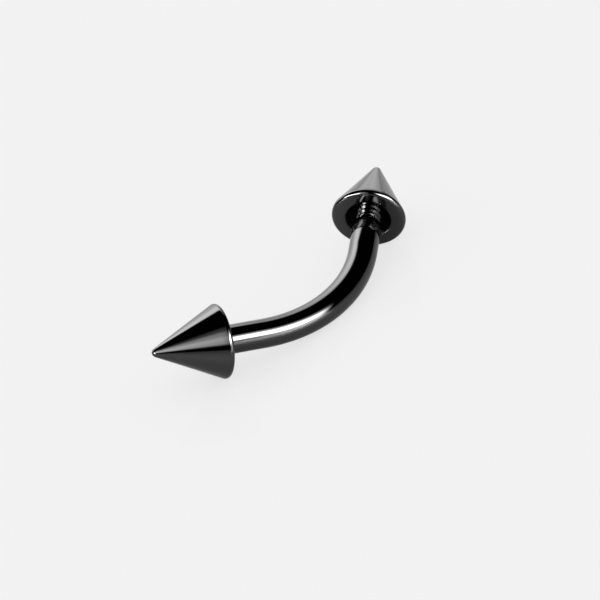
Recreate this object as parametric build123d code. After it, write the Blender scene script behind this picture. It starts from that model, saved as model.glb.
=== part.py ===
from build123d import *

import os
from math import acos, atan2, cos, degrees, hypot, pi, radians, sin, sqrt, tan

# A curved eyebrow barbell, lying at rest on a level surface.
# It is a bent round bar with a threaded pin at each end, and a pointed cone screwed on each pin.
# Lengths are in millimetres and angles in degrees. +Z is up and the length runs along X.

# Bent bar, with a straight end on each side of the bend
bar_diameter = 1.2
bend_radius = 6.15
half_bend = 31.8
straight_length = 1.63
shoulder_chamfer = 0.1

# Threaded pin on each end face of the bar
pin_length = 1.28
neck_length = 0.06
thread_diameter = 1.0
root_diameter = 0.73
thread_pitch = 0.25
root_flat = 0.04
crest_flat = 0.04
tip_chamfer = 0.14
root_overlap = 0.04

# Gap between the bar's end face and the cone's base face: the right cone is screwed on less far
left_gap = 0.1
right_gap = 0.29

# Cone outside
cone_height = 3.05
rim_diameter = 3.08
rim_round = 0.16
tip_round = 0.2

# Cone inside: a chamfered mouth, a wide recess that takes the bar's end, and the threaded hole
mouth_diameter = 1.98
mouth_depth = 0.12
recess_diameter = 1.68
recess_depth = 0.2
recess_floor_angle = 90
thread_clearance = 0.03
hole_depth = 1.85
drill_point_angle = 118

# Angles between which the resting lean and roll lie
least_lean = 10
most_lean = 60
most_roll = 5

bar_radius = bar_diameter / 2
root_radius = root_diameter / 2
crest_radius = thread_diameter / 2
hole_radius = crest_radius + thread_clearance
rim_radius = rim_diameter / 2
mouth_radius = mouth_diameter / 2
recess_radius = recess_diameter / 2


def bend_end():
    """Where the bend runs into the straight end on the +X side, while the bend lies flat."""
    turn = radians(half_bend)
    return Vector(bend_radius * sin(turn), bend_radius * (1 - cos(turn)), 0)


def outward():
    """The way that the straight end on the +X side points."""
    turn = radians(half_bend)
    return Vector(cos(turn), sin(turn), 0)


def on_end(distance):
    """A point on the axis of the +X end, at a distance past the bar's end face."""
    return bend_end() + outward() * (straight_length + distance)


def bar_shank():
    """The bent bar between its end faces, with the bend flat and its middle at the origin."""
    right = Line(on_end(0), bend_end())
    bend = CenterArc((0, bend_radius), bend_radius, half_bend - 90, -2 * half_bend)
    left = mirror(right, about=Plane.YZ)
    section = Plane(on_end(0), z_dir=-outward()) * Circle(bar_radius)
    shank = sweep(section, path=Wire([right.edge(), bend.edge(), left.edge()]))
    ends = shank.edges().filter_by(GeomType.CIRCLE).sort_by(Axis.X)
    return chamfer([ends[0], ends[-1]], shoulder_chamfer)


def thread_ridge(start, end):
    """One right-handed ridge wound up from z = start to z = end, its root sunk in the core."""
    path = Pos(0, 0, start) * Helix(thread_pitch, end - start, root_radius)
    half_root = (thread_pitch - root_flat) / 2
    half_crest = crest_flat / 2
    outline = Polyline(
        (root_radius - root_overlap, start - half_root),
        (root_radius, start - half_root),
        (crest_radius, start - half_crest),
        (crest_radius, start + half_crest),
        (root_radius, start + half_root),
        (root_radius - root_overlap, start + half_root),
        close=True,
    )
    return sweep(Plane.XZ * make_face(outline), path=path, is_frenet=True)


def threaded_pin():
    """A threaded pin along +Z with a chamfered tip, with z = 0 at the bar's end face."""
    length = pin_length + bar_radius
    core = Pos(0, 0, length / 2 - bar_radius) * Cylinder(root_radius, length)
    tip_edge = core.edges().filter_by(GeomType.CIRCLE).sort_by(Axis.Z)[-1]
    first_turn = neck_length + thread_pitch / 2
    last_turn = pin_length - tip_chamfer - thread_pitch / 2
    return chamfer(tip_edge, tip_chamfer) + thread_ridge(first_turn, last_turn)


def cone_outline():
    """Half of a cone's section in the XZ plane, with z = 0 at its base face and its tip up."""
    ring = rim_radius - rim_round
    rise = cone_height - tip_round - rim_round
    slope = acos((tip_round - rim_round) / hypot(ring, rise)) - atan2(rise, ring)
    tip = cone_height - tip_round
    floor_rise = (recess_radius - hole_radius) / tan(radians(recess_floor_angle / 2))
    point_rise = hole_radius / tan(radians(drill_point_angle / 2))
    rim_end = Vector(ring + rim_round * cos(slope), 0, rim_round * (1 + sin(slope)))
    rim_middle = slope / 2 - pi / 4
    tip_start = Vector(tip_round * cos(slope), 0, tip + tip_round * sin(slope))
    tip_middle = slope / 2 + pi / 4
    inside = Polyline(
        (0, 0, hole_depth + point_rise),
        (hole_radius, 0, hole_depth),
        (hole_radius, 0, recess_depth + floor_rise),
        (recess_radius, 0, recess_depth),
        (recess_radius, 0, mouth_depth),
        (mouth_radius, 0, 0),
        (ring, 0, 0),
    )
    rim = ThreePointArc(
        (ring, 0, 0),
        (ring + rim_round * cos(rim_middle), 0, rim_round * (1 + sin(rim_middle))),
        rim_end,
    )
    side = Line(rim_end, tip_start)
    nose = ThreePointArc(
        tip_start,
        (tip_round * cos(tip_middle), 0, tip + tip_round * sin(tip_middle)),
        (0, 0, cone_height),
    )
    axis = Line((0, 0, cone_height), (0, 0, hole_depth + point_rise))
    return make_face([inside, rim, side, nose, axis])


def cone():
    """A pointed cone on +Z, open at its base for the pin."""
    return revolve(cone_outline(), Axis.Z)


def end_place(side, gap):
    """The place of a frame whose +Z runs out along an end, on the +X (side = 1) or -X side (-1)."""
    right_end = Location(Plane(on_end(gap), x_dir=(0, 0, 1), z_dir=outward()))
    half_turn = Rot(0, 0, 0) if side > 0 else Rot(0, 180, 0)
    return half_turn * right_end


def rim_gap(side, gap, lean, roll):
    """How far a cone's rim stays above the surface that the bend touches.

    The flat barbell is turned by roll about the bend's centre, then tipped by lean about X.
    """
    up = Vector(sin(roll) * sin(lean), cos(roll) * sin(lean), cos(lean))
    axis = Vector(side * outward().X, outward().Y, 0)
    ring_centre = Vector(side * on_end(gap + rim_round).X, on_end(gap + rim_round).Y, 0)
    ring = rim_radius - rim_round
    rim_height = ring_centre.dot(up) - ring * sqrt(1 - axis.dot(up) ** 2) - rim_round
    bend_height = bend_radius * (cos(roll) - 1) * sin(lean) - bar_radius
    return rim_height - bend_height


def zero_of(function, low, high):
    """Where a steadily rising or falling function is zero, by halving the range."""
    rising = function(high) > 0
    for _ in range(40):
        middle = (low + high) / 2
        if (function(middle) > 0) == rising:
            high = middle
        else:
            low = middle
    return middle


def resting_angles():
    """The lean and roll, in radians, at which both rims and the bend touch the surface."""

    def both_gaps(lean, roll):
        return rim_gap(1, right_gap, lean, roll) + rim_gap(-1, left_gap, lean, roll)

    def gap_difference(lean, roll):
        return rim_gap(1, right_gap, lean, roll) - rim_gap(-1, left_gap, lean, roll)

    roll = 0
    for _ in range(10):
        lean_now = lambda lean: both_gaps(lean, roll)
        lean = zero_of(lean_now, radians(least_lean), radians(most_lean))
        roll_now = lambda roll: gap_difference(lean, roll)
        roll = zero_of(roll_now, -radians(most_roll), radians(most_roll))
    return lean, roll


def barbell():
    """Every piece by name, while the bend lies flat with its middle at the origin."""
    right_end = end_place(1, 0)
    left_end = end_place(-1, 0)
    return {
        "curved_bar": bar_shank() + right_end * threaded_pin() + left_end * threaded_pin(),
        "left_cone": end_place(-1, left_gap) * cone(),
        "right_cone": end_place(1, right_gap) * cone(),
    }


def resting_place(pieces):
    """The move that lays the flat barbell down on z = 0, with its box centred on the Z axis."""
    lean, roll = resting_angles()
    turned = Pos(0, bend_radius, 0) * Rot(0, 0, degrees(roll)) * Pos(0, -bend_radius, 0)
    tipped = Rot(degrees(lean), 0, 0) * turned
    boxes = [(tipped * piece).bounding_box() for piece in pieces.values()]
    middle_x = (min(box.min.X for box in boxes) + max(box.max.X for box in boxes)) / 2
    middle_y = (min(box.min.Y for box in boxes) + max(box.max.Y for box in boxes)) / 2
    return Pos(-middle_x, -middle_y, bar_radius) * tipped


def print_end(name, place):
    """Print where a frame lies at rest: its origin and the way its +Z points."""
    plane = Plane(place)
    print(name, "at", tuple(plane.origin), "facing", tuple(plane.z_dir))


pieces = barbell()
rest = resting_place(pieces)
os.makedirs("parts", exist_ok=True)
for name, piece in pieces.items():
    export_step(rest * piece, f"parts/{name}.step")
print_end("left cone base", rest * end_place(-1, left_gap))
print_end("right cone base", rest * end_place(1, right_gap))
print_end("bend middle", rest)
print("lean and roll", [degrees(angle) for angle in resting_angles()])
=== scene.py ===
"""The look of a curved eyebrow barbell: a bent bar with a pointed cone screwed on each end.

Each piece is modelled in millimetres on its own axis, because Blender's tools round off near a
micron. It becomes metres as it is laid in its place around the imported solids.
"""

import logging
from dataclasses import dataclass, field
from enum import Enum
from math import acos, atan2, ceil, cos, hypot, pi, radians, sin, tan
from typing import Callable, Iterable

import bmesh
import bpy
from mathutils import Matrix, Vector


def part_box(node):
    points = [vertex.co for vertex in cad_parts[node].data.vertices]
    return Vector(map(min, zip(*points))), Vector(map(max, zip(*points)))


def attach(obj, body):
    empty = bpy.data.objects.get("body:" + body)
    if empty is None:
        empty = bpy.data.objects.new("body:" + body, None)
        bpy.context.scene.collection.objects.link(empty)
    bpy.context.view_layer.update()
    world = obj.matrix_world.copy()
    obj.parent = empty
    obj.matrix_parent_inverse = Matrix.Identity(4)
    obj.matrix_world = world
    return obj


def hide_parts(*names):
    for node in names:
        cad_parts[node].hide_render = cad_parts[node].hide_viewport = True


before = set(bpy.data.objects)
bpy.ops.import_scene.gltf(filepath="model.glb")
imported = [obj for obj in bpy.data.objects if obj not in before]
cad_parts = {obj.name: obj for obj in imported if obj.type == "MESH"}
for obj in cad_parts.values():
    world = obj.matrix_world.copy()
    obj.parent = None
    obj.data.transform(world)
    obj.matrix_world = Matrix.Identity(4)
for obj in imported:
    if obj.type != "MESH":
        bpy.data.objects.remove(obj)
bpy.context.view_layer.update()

MILLIMETRE = 0.001

# In millimetres: a ring is found to within SAME_PLACE, points nearer than MERGE_DISTANCE are
# merged, and edges shorter than STRAY_LENGTH are dissolved.
SAME_PLACE = 0.0005
MERGE_DISTANCE = 0.0001
STRAY_LENGTH = 0.00001

# An edge between faces that turn by more than this many degrees stays sharp.
CREASE_ANGLE = 24
EDGE_SEGMENTS = 3

# The +X end of the barbell, then the -X end.
BOTH_SIDES = (1, -1)

# The power that gives an area light of one square metre a radiance of one.
POWER_PER_RADIANCE = 4

log = logging.getLogger("barbell")


class Body(Enum):
    """The bodies that move on their own."""

    BAR = "bar"
    LEFT_END = "left_end"
    RIGHT_END = "right_end"


class Slot(Enum):
    """The record's material slots."""

    STEEL = "black_coated_steel"


class Surface(Enum):
    """How a face was made, as its place among the piece's materials."""

    POLISHED = 0
    # Cut faces: on the cones their material is also darkened as painted shade.
    CUT = 1


def linear(hex_colour: str) -> tuple[float, float, float, float]:
    """Turn an sRGB hex colour to linear light, by the curve of the sRGB standard.

    Args:
        hex_colour: The colour as "#rrggbb".

    Returns:
        Red, green, blue and a full alpha, in linear light.
    """
    shares = [int(hex_colour[at : at + 2], 16) / 255 for at in (1, 3, 5)]
    light = [s / 12.92 if s <= 0.04045 else ((s + 0.055) / 1.055) ** 2.4 for s in shares]
    return (*light, 1.0)


def empty_tree(holder: bpy.types.ID) -> bpy.types.NodeTree:
    """Give a material, light or world a node tree with nothing in it.

    Args:
        holder: The material, light or world.

    Returns:
        Its node tree.
    """
    holder.use_nodes = True
    holder.node_tree.nodes.clear()
    return holder.node_tree


def add_node(
    tree: bpy.types.NodeTree, kind: str, inputs: dict[str | int, object], **settings: object
) -> bpy.types.Node:
    """Add a shader node, set it and link it.

    Args:
        tree: The node tree that gets it.
        kind: Blender's name for the kind of node.
        inputs: A value, or another node's output, for each input by its name or number.
        settings: The node's own settings.

    Returns:
        The new node.
    """
    node = tree.nodes.new(kind)
    for name, value in settings.items():
        setattr(node, name, value)
    for name, value in inputs.items():
        if isinstance(value, bpy.types.NodeSocket):
            tree.links.new(value, node.inputs[name])
        else:
            node.inputs[name].default_value = value
    return node


def facing(azimuth: float, elevation: float, roll: float) -> tuple[Vector, Matrix]:
    """Find a direction, and the turn that points +Z along it.

    Args:
        azimuth: The direction's turn from +X towards +Y, in radians.
        elevation: Its rise above the floor, in radians.
        roll: How far the axes are turned about it, in degrees.

    Returns:
        The direction and the turn.
    """
    level = cos(elevation)
    toward = Vector((cos(azimuth) * level, sin(azimuth) * level, sin(elevation)))
    upright = toward.to_track_quat("Z", "Y").to_matrix().to_4x4()
    return toward, upright @ Matrix.Rotation(radians(roll), 4, "Z")


class Turning:
    """A mesh drawn out ring by ring along +Z, as on a lathe, with its last ring in hand."""

    def __init__(self, name: str, points: int, radius: float, height: float = 0.0) -> None:
        """Start with one ring.

        Args:
            name: The piece's name.
            points: How many points each ring has.
            radius: The ring's radius in millimetres.
            height: The ring's place along +Z in millimetres.
        """
        bpy.ops.object.select_all(action="DESELECT")
        bpy.ops.mesh.primitive_circle_add(
            vertices=points, radius=radius, location=(0, 0, height)
        )
        bpy.ops.object.transform_apply(location=True, rotation=True, scale=True)
        self.piece = bpy.context.object
        self.piece.name = name
        self.radius = radius
        self.height = height
        bpy.ops.object.mode_set(mode="EDIT")
        bpy.ops.mesh.select_mode(type="VERT")
        bpy.ops.mesh.select_all(action="SELECT")

    def pick(self, wanted: Callable[[Vector], bool]) -> None:
        """Select the points whose place is wanted, and nothing else.

        Args:
            wanted: Says of a place whether it is wanted.
        """
        bpy.ops.mesh.select_all(action="DESELECT")
        shape = bmesh.from_edit_mesh(self.piece.data)
        for point in shape.verts:
            if wanted(point.co):
                point.select_set(True)
        shape.select_flush(True)
        bmesh.update_edit_mesh(self.piece.data)

    def pick_points(self, wanted: Iterable[int]) -> None:
        """Select the points with the wanted indices, and nothing else.

        Args:
            wanted: The points' indices.
        """
        bpy.ops.mesh.select_all(action="DESELECT")
        shape = bmesh.from_edit_mesh(self.piece.data)
        shape.verts.ensure_lookup_table()
        for index in wanted:
            shape.verts[index].select_set(True)
        shape.select_flush(True)
        bmesh.update_edit_mesh(self.piece.data)

    def pick_ring(self, radius: float, height: float) -> None:
        """Take the ring at a radius and height in hand.

        Args:
            radius: The ring's radius in millimetres.
            height: The ring's place along +Z in millimetres.
        """
        self.pick(
            lambda place: abs(place.z - height) < SAME_PLACE
            and abs(hypot(place.x, place.y) - radius) < SAME_PLACE
        )
        self.radius = radius
        self.height = height

    def draw(self, radius: float, height: float, turn: float = 0.0) -> None:
        """Draw the mesh out to a new ring.

        Args:
            radius: The new ring's radius in millimetres.
            height: The new ring's place along +Z in millimetres.
            turn: How far the new ring is turned about +Z from the last one, in radians.
        """
        bpy.ops.mesh.extrude_region_move(
            TRANSFORM_OT_translate={"value": (0, 0, height - self.height)}
        )
        middle = (0, 0, height)
        share = radius / self.radius
        if share != 1:
            bpy.ops.transform.resize(value=(share, share, 1), center_override=middle)
        if turn:
            bpy.ops.transform.rotate(value=-turn, orient_axis="Z", center_override=middle)
        self.radius = radius
        self.height = height

    def close_at(self, height: float) -> None:
        """Close the mesh to one point on the axis at a height."""
        self.draw(self.radius, height)
        bpy.ops.mesh.merge(type="CENTER")

    def close_flat(self) -> None:
        """Close the mesh with one flat face across the ring in hand."""
        bpy.ops.mesh.edge_face_add()

    def soften(self, radius: float, height: float, width: float) -> None:
        """Break the edge along a ring.

        Args:
            radius: The edge's radius in millimetres.
            height: The edge's place along +Z in millimetres.
            width: How far the rounding reaches on each side, in millimetres.
        """
        self.pick_ring(radius, height)
        bpy.ops.mesh.bevel(offset=width, segments=EDGE_SEGMENTS, affect="EDGES")


@dataclass
class ScrewThread:
    """A right-handed thread with flat crests and roots. Sizes are in millimetres."""

    inner_radius: float
    outer_radius: float
    pitch: float = 0.25
    flat: float = 0.04
    steps: int = 32

    def radius_at(self, share: float) -> float:
        """Find the thread's radius in its section across the axis.

        Args:
            share: How far round the section, as a share of one turn, with the crest at a half.

        Returns:
            The radius there, in millimetres.
        """
        flank = self.pitch / 2 - self.flat
        past_crest = abs(share - 0.5) * self.pitch - self.flat / 2
        fall = min(max(past_crest / flank, 0), 1)
        return self.outer_radius - fall * (self.outer_radius - self.inner_radius)

    def open_out(self, work: Turning) -> None:
        """Draw the round ring in hand out, in its own plane, to the section of the thread.

        Args:
            work: The mesh, with a ring of the thread's inner radius in hand.
        """
        bpy.ops.mesh.extrude_region_move(TRANSFORM_OT_translate={"value": (0, 0, 0)})
        shape = bmesh.from_edit_mesh(work.piece.data)
        angles = {p.index: atan2(p.co.y, p.co.x) for p in shape.verts if p.select}
        for index, angle in angles.items():
            share = self.radius_at((angle / (2 * pi)) % 1) / self.inner_radius
            work.pick_points([index])
            bpy.ops.transform.resize(
                value=(share, share, 1), center_override=(0, 0, work.height)
            )
        work.pick_points(angles)

    def wind(self, work: Turning, height: float, share: float = 1.0) -> None:
        """Wind the section in hand up to a height.

        Args:
            work: The mesh, with the thread's section in hand.
            height: Where the winding ends, in millimetres along +Z.
            share: How much of its radius the section keeps at that end.
        """
        start, radius = work.height, work.radius
        count = ceil((height - start) / self.pitch * self.steps)
        rise = (height - start) / count
        for step in range(1, count + 1):
            part = step / count
            work.draw(
                radius * (1 - part * (1 - share)),
                start + part * (height - start),
                turn=2 * pi * rise / self.pitch,
            )


def lay(piece: bpy.types.Object, place: Matrix) -> None:
    """Apply a placement to a piece's mesh, so that its object stays at the origin, unturned.

    Args:
        piece: The piece, with its mesh about its own axis.
        place: Where the piece's own axes lie.
    """
    bpy.ops.object.select_all(action="DESELECT")
    piece.select_set(True)
    bpy.context.view_layer.objects.active = piece
    piece.matrix_world = place
    bpy.ops.object.transform_apply(location=True, rotation=True, scale=True)


def finish_mesh(piece: bpy.types.Object) -> None:
    """Merge doubles, point the faces outwards and shade the piece, leaving edit mode.

    Args:
        piece: The piece, in edit mode and active.
    """
    bpy.ops.mesh.select_all(action="SELECT")
    bpy.ops.mesh.remove_doubles(threshold=MERGE_DISTANCE)
    bpy.ops.mesh.dissolve_degenerate(threshold=STRAY_LENGTH)
    bpy.ops.mesh.normals_make_consistent(inside=False)
    bpy.ops.object.mode_set(mode="OBJECT")
    bpy.ops.object.shade_smooth_by_angle(angle=radians(CREASE_ANGLE))


def mark_cut(
    piece: bpy.types.Object, is_cut: Callable[[bpy.types.MeshPolygon], bool]
) -> None:
    """Give the faces that were cut and never polished their own material.

    Args:
        piece: The piece, in object mode, about its own axis.
        is_cut: Says of a face whether it is such a one.
    """
    # On the bar the cut faces only get a rougher finish; on the cones their material also holds
    # painted shade, far darker than the outside.
    for face in piece.data.polygons:
        made = Surface.CUT if is_cut(face) else Surface.POLISHED
        face.material_index = made.value


@dataclass(frozen=True)
class PolishedBlackSteel:
    """Surgical steel buffed to a mirror, then coated black by vapour deposition.

    The coat is thin and hard, so it keeps the mirror below it: a dark neutral reflection that
    brightens to white toward the piece's edges, with a faint unevenness from the buffing.
    """

    name: str = "black PVD-coated surgical steel, mirror polished"
    colour: str = "#484848"
    clean_roughness: float = 0.035
    hazy_roughness: float = 0.075
    haze_size: float = 0.9
    haze_detail: float = 4
    haze_range: tuple[float, float] = (0.35, 0.75)
    ripple_size: float = 0.3
    ripple_detail: float = 1
    ripple_height: float = 0.0004

    def make(self) -> bpy.types.Material:
        """Make the material.

        Returns:
            The new material.
        """
        material = bpy.data.materials.new(self.name)
        tree = empty_tree(material)
        place = add_node(tree, "ShaderNodeTexCoord", {}).outputs["Object"]
        # Buffing leaves a haze in patches of about a millimetre.
        haze = add_node(
            tree,
            "ShaderNodeTexNoise",
            {
                "Vector": place,
                "Scale": 1 / (self.haze_size * MILLIMETRE),
                "Detail": self.haze_detail,
            },
        )
        roughness = add_node(
            tree,
            "ShaderNodeMapRange",
            {
                "Value": haze.outputs["Fac"],
                "From Min": self.haze_range[0],
                "From Max": self.haze_range[1],
                "To Min": self.clean_roughness,
                "To Max": self.hazy_roughness,
            },
        )
        # Hand polishing leaves the wire a very little out of true.
        ripple = add_node(
            tree,
            "ShaderNodeTexNoise",
            {
                "Vector": place,
                "Scale": 1 / (self.ripple_size * MILLIMETRE),
                "Detail": self.ripple_detail,
            },
        )
        bump = add_node(
            tree,
            "ShaderNodeBump",
            {
                "Height": ripple.outputs["Fac"],
                "Strength": 1,
                "Distance": self.ripple_height * MILLIMETRE,
            },
        )
        shader = add_node(
            tree,
            "ShaderNodeBsdfPrincipled",
            {
                "Base Color": linear(self.colour),
                "Metallic": 1,
                "Roughness": roughness.outputs["Result"],
                "Normal": bump.outputs["Normal"],
            },
        )
        add_node(tree, "ShaderNodeOutputMaterial", {"Surface": shader.outputs["BSDF"]})
        return material


# The die that cut the thread leaves its flanks a little less smooth than the buffed bar, so the
# lights in them look softer.
CUT_THREAD = PolishedBlackSteel(
    name="black PVD-coated surgical steel, thread cut",
    clean_roughness=0.05,
    hazy_roughness=0.09,
)


@dataclass(frozen=True)
class DrilledBlackSteelWithPaintedShade:
    """The same coated steel as drilled and tapped, inside the cones.

    Tool marks there were never buffed away, so the coat is rougher than the buffed outside.
    Its colour and edge tint are painted shade, far darker than the outside's, so that the
    recess and the hole look black.
    """

    name: str = "black PVD-coated surgical steel, drilled and tapped"
    # Painted shade: a colour far darker than the outside's, so the recess and the hole look
    # black.
    colour: str = "#141415"
    # Painted shade as well: a dim edge tint that keeps the inside dark at grazing angles.
    edge_tint: str = "#4c4c4c"
    fine_roughness: float = 0.28
    coarse_roughness: float = 0.42
    grain_size: float = 0.12
    grain_detail: float = 3
    grain_range: tuple[float, float] = (0.3, 0.7)

    def make(self) -> bpy.types.Material:
        """Make the material.

        Returns:
            The new material.
        """
        material = bpy.data.materials.new(self.name)
        tree = empty_tree(material)
        place = add_node(tree, "ShaderNodeTexCoord", {}).outputs["Object"]
        grain = add_node(
            tree,
            "ShaderNodeTexNoise",
            {
                "Vector": place,
                "Scale": 1 / (self.grain_size * MILLIMETRE),
                "Detail": self.grain_detail,
            },
        )
        roughness = add_node(
            tree,
            "ShaderNodeMapRange",
            {
                "Value": grain.outputs["Fac"],
                "From Min": self.grain_range[0],
                "From Max": self.grain_range[1],
                "To Min": self.fine_roughness,
                "To Max": self.coarse_roughness,
            },
        )
        shader = add_node(
            tree,
            "ShaderNodeBsdfPrincipled",
            {
                "Base Color": linear(self.colour),
                "Specular Tint": linear(self.edge_tint),
                "Metallic": 1,
                "Roughness": roughness.outputs["Result"],
            },
        )
        add_node(tree, "ShaderNodeOutputMaterial", {"Surface": shader.outputs["BSDF"]})
        return material


@dataclass
class Rest:
    """How the barbell lies on a level surface, from the solids. Places are in millimetres."""

    bend_middle: Vector = field(
        default_factory=lambda: Vector((-0.1132214, -1.3142481, 0.6001293))
    )
    lean: float = 27.185799
    roll: float = -0.549594

    def place(self) -> Matrix:
        """Find where the flat barbell's axes lie, with millimetres made metres.

        Returns:
            The place.
        """
        turned = Matrix.Rotation(radians(self.lean), 4, "X") @ Matrix.Rotation(
            radians(self.roll), 4, "Z"
        )
        return Matrix.Scale(MILLIMETRE, 4) @ Matrix.Translation(self.bend_middle) @ turned


@dataclass
class ThreadedPin:
    """The threaded pin on each end of the bar, along +Z from the bar's end face."""

    length: float = 1.28
    neck_length: float = 0.06
    tip_chamfer: float = 0.14
    thread: ScrewThread = field(default_factory=lambda: ScrewThread(0.365, 0.5))

    def build(self, points: int) -> bpy.types.Object:
        """Turn the neck, wind the thread up it and chamfer the tip.

        Args:
            points: How many points the bar has around it.

        Returns:
            The pin, open at the bar's end face.
        """
        root = self.thread.inner_radius
        crest = self.thread.outer_radius
        work = Turning("pin", points, root)
        work.draw(root, self.neck_length)
        self.thread.open_out(work)
        self.thread.wind(work, self.length - self.tip_chamfer)
        self.thread.wind(work, self.length, share=1 - self.tip_chamfer / crest)
        work.close_flat()
        bpy.ops.object.mode_set(mode="OBJECT")
        return work.piece


@dataclass
class CurvedBar:
    """The bent bar with its two threaded pins. Sizes are in millimetres and degrees."""

    diameter: float = 1.2
    bend_radius: float = 6.15
    half_bend: float = 31.8
    straight_length: float = 1.63
    shoulder_chamfer: float = 0.1
    edge_break: float = 0.015
    points: int = 96
    bend_steps: int = 96
    pin: ThreadedPin = field(default_factory=ThreadedPin)

    def end_place(self, side: int, distance: float) -> Matrix:
        """Where an end's axes lie while the bend is flat, with +Z out along the end.

        Args:
            side: 1 for the +X end and -1 for the -X end.
            distance: How far past the bar's end face the origin lies, in millimetres.

        Returns:
            The place, in the flat barbell's axes.
        """
        bend_end, outward = self._bend_end(1)
        origin = bend_end + outward * (self.straight_length + distance)
        across = Vector((0, 0, 1))
        axes = Matrix((across, outward.cross(across), outward)).transposed().to_4x4()
        right = Matrix.Translation(origin) @ axes
        return right if side > 0 else Matrix.Rotation(pi, 4, "Y") @ right

    def _bend_end(self, side: int) -> tuple[Vector, Vector]:
        """Find where the bend runs into a straight end.

        Args:
            side: 1 for the +X end and -1 for the -X end.

        Returns:
            The place, and the way that the end points.
        """
        turn = radians(self.half_bend)
        place = Vector(
            (side * self.bend_radius * sin(turn), self.bend_radius * (1 - cos(turn)), 0)
        )
        return place, Vector((side * cos(turn), sin(turn), 0))

    def build(self, rest: Matrix) -> bpy.types.Object:
        """Bend the bar, turn its ends and add the pins.

        Args:
            rest: Where the flat barbell's axes lie at rest.

        Returns:
            The bar with its pins, as one mesh.
        """
        halves = [self._half(side) for side in BOTH_SIDES]
        pins = [self.pin.build(self.points) for _ in halves]
        for pin, side in zip(pins, BOTH_SIDES):
            lay(pin, self.end_place(side, 0))
        bar = halves[0]
        bpy.ops.object.select_all(action="DESELECT")
        for part in (*halves, *pins):
            part.select_set(True)
        bpy.context.view_layer.objects.active = bar
        bpy.ops.object.join()
        bar.name = "bar_with_pins"
        bpy.ops.object.mode_set(mode="EDIT")
        finish_mesh(bar)
        mark_cut(bar, self._is_pin)
        lay(bar, rest)
        return bar

    def _half(self, side: int) -> bpy.types.Object:
        """Turn one straight end from its face back to the bend, then spin half of the bend.

        Args:
            side: 1 for the +X end and -1 for the -X end.

        Returns:
            Half of the bar, open in the middle of the bend and at the pin.
        """
        radius = self.diameter / 2
        work = Turning("half_bar", self.points, self.pin.thread.inner_radius)
        work.draw(radius - self.shoulder_chamfer, 0)
        work.draw(radius, -self.shoulder_chamfer)
        work.draw(radius, -self.straight_length)
        work.soften(radius, -self.shoulder_chamfer, self.edge_break)
        work.soften(radius - self.shoulder_chamfer, 0, self.edge_break)
        bpy.ops.object.mode_set(mode="OBJECT")
        lay(work.piece, self.end_place(side, 0))
        bpy.ops.object.mode_set(mode="EDIT")
        bend_end, outward = self._bend_end(side)
        work.pick(lambda place: abs((place - bend_end).dot(outward)) < SAME_PLACE)
        bpy.ops.mesh.spin(
            steps=self.bend_steps // 2,
            angle=radians(self.half_bend),
            center=(0, self.bend_radius, 0),
            axis=(0, 0, side),
        )
        bpy.ops.object.mode_set(mode="OBJECT")
        return work.piece

    def _is_pin(self, face: bpy.types.MeshPolygon) -> bool:
        """Whether a face of the flat barbell lies on one of the pins."""
        ends = (self.end_place(side, 0).inverted() @ face.center for side in BOTH_SIDES)
        return any(local.z > SAME_PLACE for local in ends)

    def dress(self, bar: bpy.types.Object, finishes: list[bpy.types.Material]) -> None:
        """Give the bar its materials and body, and hide the solid that it stands for.

        Args:
            bar: The bar in its place.
            finishes: The materials in the order of Surface.
        """
        for material in finishes:
            bar.data.materials.append(material)
        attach(bar, Body.BAR.value)
        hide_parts("curved_bar")


@dataclass(frozen=True)
class ScrewedEnd:
    """One end of the bar, and the cone on it.

    The gap is from the bar's end face to the cone's base face, in millimetres.
    """

    node: str
    body: Body
    side: int
    gap: float


# The right cone is screwed on less far, so some turns of thread show in its mouth.
SCREWED_ENDS = (
    ScrewedEnd("left_cone", Body.LEFT_END, side=-1, gap=0.1),
    ScrewedEnd("right_cone", Body.RIGHT_END, side=1, gap=0.29),
)


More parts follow.
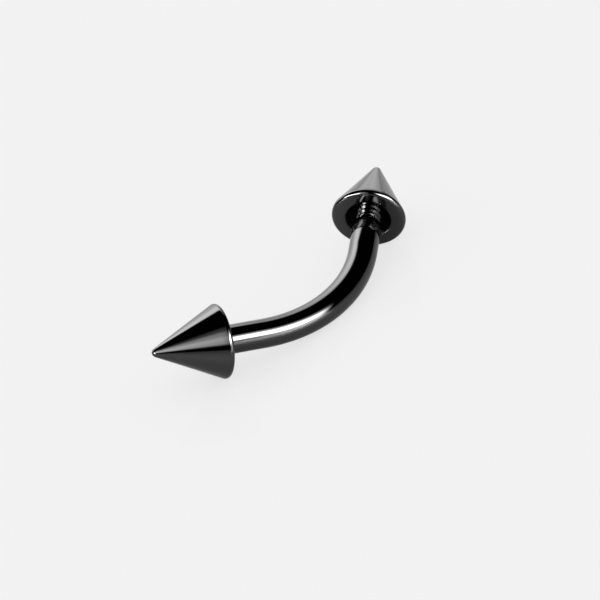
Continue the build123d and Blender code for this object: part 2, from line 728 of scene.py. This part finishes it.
@dataclass
class Cone:
    """A pointed cone on +Z with its base face at z = 0. Sizes are in millimetres and degrees."""

    height: float = 3.05
    rim_diameter: float = 3.08
    rim_round: float = 0.16
    tip_round: float = 0.2
    mouth_diameter: float = 1.98
    mouth_depth: float = 0.12
    recess_diameter: float = 1.68
    recess_depth: float = 0.2
    recess_floor_angle: float = 90
    hole_depth: float = 1.85
    drill_point_angle: float = 118
    edge_break: float = 0.04
    points: int = 192
    round_steps: int = 16
    side_steps: int = 12
    thread: ScrewThread = field(default_factory=lambda: ScrewThread(0.53, 0.62, steps=16))

    def outside(self) -> list[tuple[float, float]]:
        """Find the outline of the outside, from the base face over the rim to the tip.

        Returns:
            The rings' radii and heights, in millimetres.
        """
        ring = self.rim_diameter / 2 - self.rim_round
        tip = self.height - self.tip_round
        rise = tip - self.rim_round
        slope = acos((self.tip_round - self.rim_round) / hypot(ring, rise)) - atan2(rise, ring)
        places = []
        for step in range(1, self.round_steps + 1):
            angle = -pi / 2 + (pi / 2 + slope) * step / self.round_steps
            places.append(
                (ring + self.rim_round * cos(angle), self.rim_round * (1 + sin(angle)))
            )
        nose_start = (self.tip_round * cos(slope), tip + self.tip_round * sin(slope))
        rim_end = places[-1]
        for step in range(1, self.side_steps + 1):
            part = step / self.side_steps
            places.append(
                tuple(a + (b - a) * part for a, b in zip(rim_end, nose_start))
            )
        for step in range(1, self.round_steps):
            angle = slope + (pi / 2 - slope) * step / self.round_steps
            places.append((self.tip_round * cos(angle), tip + self.tip_round * sin(angle)))
        return places

    def build(self) -> bpy.types.Object:
        """Turn the outside, then the mouth, the recess and the threaded hole.

        Returns:
            The cone about its own axis, in millimetres.
        """
        ring = self.rim_diameter / 2 - self.rim_round
        mouth = self.mouth_diameter / 2
        recess = self.recess_diameter / 2
        hole = self.thread.inner_radius
        floor_rise = (recess - hole) / tan(radians(self.recess_floor_angle / 2))
        point_rise = hole / tan(radians(self.drill_point_angle / 2))
        work = Turning("cone", self.points, ring)
        for radius, height in self.outside():
            work.draw(radius, height)
        work.close_at(self.height)
        work.pick_ring(ring, 0)
        work.draw(mouth, 0)
        work.draw(recess, self.mouth_depth)
        work.draw(recess, self.recess_depth)
        work.draw(hole, self.recess_depth + floor_rise)
        self.thread.open_out(work)
        self.thread.wind(work, self.hole_depth)
        work.close_at(self.hole_depth + point_rise)
        work.soften(mouth, 0, self.edge_break)
        work.soften(recess, self.mouth_depth, self.edge_break)
        finish_mesh(work.piece)
        # The inside faces take the material that is darkened as painted shade.
        mark_cut(work.piece, self._is_inside)
        return work.piece

    def _is_inside(self, face: bpy.types.MeshPolygon) -> bool:
        """Whether a face of the cone looks in at its axis, past the mouth's bright edge."""
        # These are the faces that get the painted shade.
        return face.center.z > self.edge_break and face.center.xy.dot(face.normal.xy) < 0

    def dress(
        self, cone: bpy.types.Object, finishes: list[bpy.types.Material], end: ScrewedEnd
    ) -> None:
        """Give a cone its materials and body, and hide the solid that it stands for.

        Args:
            cone: The cone in its place.
            finishes: The materials in the order of Surface.
            end: The end that it is screwed on.
        """
        for material in finishes:
            cone.data.materials.append(material)
        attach(cone, end.body.value)
        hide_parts(end.node)


@dataclass
class SoftBox:
    """One soft light around the barbell, given by the directions that it fills.

    Each profile is a row of angles in degrees, each with the share of the radiance that the box's
    cloth has there. The distance is in metres. The box shows only in the metal, so that it leaves
    no shadow on the floor.
    """

    name: str
    radiance: float
    azimuths: tuple[tuple[float, float], ...]
    elevations: tuple[tuple[float, float], ...]
    roll: float = 0.0
    distance: float = 0.4

    def make(self) -> None:
        """Hang the light."""
        around, half_width = self._middle(self.azimuths)
        up, half_height = self._middle(self.elevations)
        toward, turned = facing(around, up, self.roll)
        width = 2 * self.distance * tan(half_width) * cos(up)
        height = 2 * self.distance * tan(half_height)
        bpy.ops.object.light_add(
            type="AREA", location=toward * self.distance, rotation=turned.to_euler()
        )
        box = bpy.context.object
        box.name = self.name
        box.data.shape = "RECTANGLE"
        box.data.size = width
        box.data.size_y = height
        box.data.energy = self.radiance * POWER_PER_RADIANCE * width * height
        box.visible_camera = False
        box.visible_diffuse = False
        self._fade(box.data)

    def _middle(self, profile: tuple[tuple[float, float], ...]) -> tuple[float, float]:
        """The middle and the half width of a profile, in radians."""
        first, last = radians(profile[0][0]), radians(profile[-1][0])
        return (first + last) / 2, (last - first) / 2

    def _fade(self, light: bpy.types.Light) -> None:
        """Give the cloth of the box its shares of brightness across and up.

        Args:
            light: The light's data.
        """
        tree = empty_tree(light)
        across = add_node(tree, "ShaderNodeNewGeometry", {}).outputs["Parametric"]
        sides = add_node(tree, "ShaderNodeSeparateXYZ", {"Vector": across})
        shares = []
        for axis, profile in (("X", self.azimuths), ("Y", self.elevations)):
            middle, half = self._middle(profile)
            ramp = add_node(tree, "ShaderNodeValToRGB", {"Fac": sides.outputs[axis]})
            ramp.color_ramp.interpolation = "EASE"
            for stop, (angle, share) in enumerate(profile):
                # The cloth is flat, so an angle lies on it by its tangent.
                place = 0.5 + tan(radians(angle) - middle) / (2 * tan(half))
                stops = ramp.color_ramp.elements
                mark = stops[stop] if stop < 2 else stops.new(place)
                mark.position = place
                mark.color = (share, share, share, 1)
            shares.append(ramp.outputs["Color"])
        strength = add_node(
            tree, "ShaderNodeMath", {0: shares[0], 1: shares[1]}, operation="MULTIPLY"
        )
        glow = add_node(tree, "ShaderNodeEmission", {"Strength": strength.outputs["Value"]})
        add_node(tree, "ShaderNodeOutputLight", {"Surface": glow.outputs["Emission"]})


@dataclass
class Studio:
    """A pale sheet lit from below and above, in a dark room with soft boxes around.

    The sheet's size is in metres. The glow is its brightness from below, and glow_share is that
    light's share of what the eye sees.
    """

    sheet_size: float = 4.0
    sheet_colour: str = "#f4f4f4"
    sheet_roughness: float = 0.15
    sheet_gloss: float = 0.025
    glow: float = 0.93
    glow_share: float = 0.75
    even_light: float = 1.0
    room_light: float = 0.004
    boxes: tuple[SoftBox, ...] = (
        SoftBox(
            "key_box",
            radiance=28,
            azimuths=((-124, 0), (-114, 1), (-80, 1), (-67, 0.6), (-56, 0)),
            elevations=((-3, 0), (3, 0.22), (12, 1), (25, 1), (33, 0.24), (39, 0.07), (46, 0)),
            roll=-13,
        ),
        SoftBox(
            "left_box",
            radiance=36,
            azimuths=((154, 0), (160, 1), (190, 1), (197, 0)),
            elevations=((3, 0), (11, 0.4), (16, 1), (21, 1), (25, 0)),
        ),
        SoftBox(
            "front_left_box",
            radiance=5.4,
            azimuths=((-178, 0), (-166, 1), (-146, 0.3), (-138, 0)),
            elevations=((13, 0), (22, 0.88), (31, 1), (43, 0.47), (54, 0.07), (64, 0)),
            distance=0.05,
        ),
        SoftBox(
            "back_box",
            radiance=5.5,
            azimuths=(
                (-2, 0),
                (12, 0.2),
                (22, 0.3),
                (35, 0.5),
                (45, 0.8),
                (64, 1),
                (110, 0.7),
                (118, 0),
            ),
            elevations=(
                (-2, 0.12),
                (6, 0.17),
                (15, 0.32),
                (24, 0.48),
                (33, 0.85),
                (45, 1),
                (53, 0),
            ),
            roll=-8,
        ),
        SoftBox(
            "back_side_box",
            radiance=1.0,
            azimuths=((18, 0), (27, 0.8), (33, 1), (39, 0.7), (48, 0)),
            elevations=((-3, 0.6), (7, 1), (18, 0)),
        ),
    )

    def build(self) -> None:
        """Lay the sheet and hang the lights."""
        bpy.ops.object.select_all(action="DESELECT")
        bpy.ops.mesh.primitive_plane_add(size=self.sheet_size, location=(0, 0, 0))
        sheet = bpy.context.object
        sheet.name = "pale_floor"
        sheet.data.materials.append(self._sheet_material())
        for box in self.boxes:
            box.make()
        self._light_room()

    def _sheet_material(self) -> bpy.types.Material:
        """Make the material of the sheet, which a lamp below it fills with light.

        Only the eye sees that light, which thins the shadows. The metal mirrors the sheet as the
        room lights it, so that its underside stays dark.

        Returns:
            The new material.
        """
        material = bpy.data.materials.new("opal acrylic sheet, satin, lit from below")
        tree = empty_tree(material)
        sheet = add_node(
            tree,
            "ShaderNodeBsdfPrincipled",
            {
                "Base Color": linear(self.sheet_colour),
                "Roughness": self.sheet_roughness,
                "Specular IOR Level": self.sheet_gloss,
            },
        )
        lamp = add_node(tree, "ShaderNodeEmission", {"Strength": self.glow})
        seen = add_node(tree, "ShaderNodeLightPath", {}).outputs["Is Camera Ray"]
        share = add_node(
            tree, "ShaderNodeMath", {0: seen, 1: self.glow_share}, operation="MULTIPLY"
        )
        both = add_node(
            tree,
            "ShaderNodeMixShader",
            {
                0: share.outputs["Value"],
                1: sheet.outputs["BSDF"],
                2: lamp.outputs["Emission"],
            },
        )
        add_node(tree, "ShaderNodeOutputMaterial", {"Surface": both.outputs["Shader"]})
        return material

    def _light_room(self) -> None:
        """Light the sheet evenly, and keep the room that the metal reflects dark."""
        world = bpy.data.worlds.new("dark room with an even fill")
        bpy.context.scene.world = world
        tree = empty_tree(world)
        seen = add_node(tree, "ShaderNodeLightPath", {}).outputs["Is Glossy Ray"]
        strength = add_node(
            tree,
            "ShaderNodeMapRange",
            {"Value": seen, "To Min": self.even_light, "To Max": self.room_light},
        )
        light = add_node(
            tree, "ShaderNodeBackground", {"Strength": strength.outputs["Result"]}
        )
        add_node(tree, "ShaderNodeOutputWorld", {"Surface": light.outputs["Background"]})


@dataclass
class PhotoCamera:
    """The camera that took the photograph. Places are in millimetres, angles in degrees."""

    place: tuple[float, float, float] = (-165.062, -183.362, 130.263)
    azimuth: float = -131.908894
    elevation: float = 27.716694
    roll: float = -17.235462
    focal_length: float = 408.99
    sensor_width: float = 36.0
    nearest: float = 10.0
    furthest: float = 10000.0

    def build(self) -> None:
        """Set the camera up."""
        _, turned = facing(radians(self.azimuth), radians(self.elevation), self.roll)
        bpy.ops.object.camera_add()
        camera = bpy.context.object
        camera.name = "photo_camera"
        camera.matrix_world = Matrix.Translation(Vector(self.place) * MILLIMETRE) @ turned
        camera.data.sensor_width = self.sensor_width
        camera.data.lens = self.focal_length
        camera.data.clip_start = self.nearest * MILLIMETRE
        camera.data.clip_end = self.furthest * MILLIMETRE
        bpy.context.scene.camera = camera


def report(piece: bpy.types.Object, node: str) -> None:
    """Log a piece's size against the solid that it stands for.

    Args:
        piece: The finished piece.
        node: The solid's node.
    """
    low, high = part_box(node)
    places = [point.co for point in piece.data.vertices]
    own_low = [min(place[axis] for place in places) for axis in range(3)]
    own_high = [max(place[axis] for place in places) for axis in range(3)]
    apart = [
        round((own - solid) / MILLIMETRE, 4)
        for own, solid in zip(own_low + own_high, [*low, *high])
    ]
    faces = sum(len(face.vertices) - 2 for face in piece.data.polygons)
    log.info("%s: %d triangles, from its solid's box by %s mm", piece.name, faces, apart)


def main() -> None:
    """Build the barbell, the studio and the camera."""
    logging.basicConfig(level=logging.INFO, format="%(message)s")
    bpy.context.scene.view_settings.view_transform = "Standard"
    PhotoCamera().build()
    rest = Rest().place()
    polished = PolishedBlackSteel().make()
    threaded = CUT_THREAD.make()
    # This material's dark colour is painted shade for the cones' insides.
    drilled_with_painted_shade = DrilledBlackSteelWithPaintedShade().make()
    shape = CurvedBar()
    bar = shape.build(rest)
    shape.dress(bar, [polished, threaded])
    report(bar, "curved_bar")
    pattern = Cone()
    first = pattern.build()
    for end in SCREWED_ENDS:
        cone = first.copy()
        cone.data = first.data.copy()
        bpy.context.scene.collection.objects.link(cone)
        cone.name = f"pointed_{end.node}"
        lay(cone, rest @ shape.end_place(end.side, end.gap))
        pattern.dress(cone, [polished, drilled_with_painted_shade], end)
        report(cone, end.node)
    bpy.data.objects.remove(first)
    Studio().build()


if __name__ == "__main__":
    main()
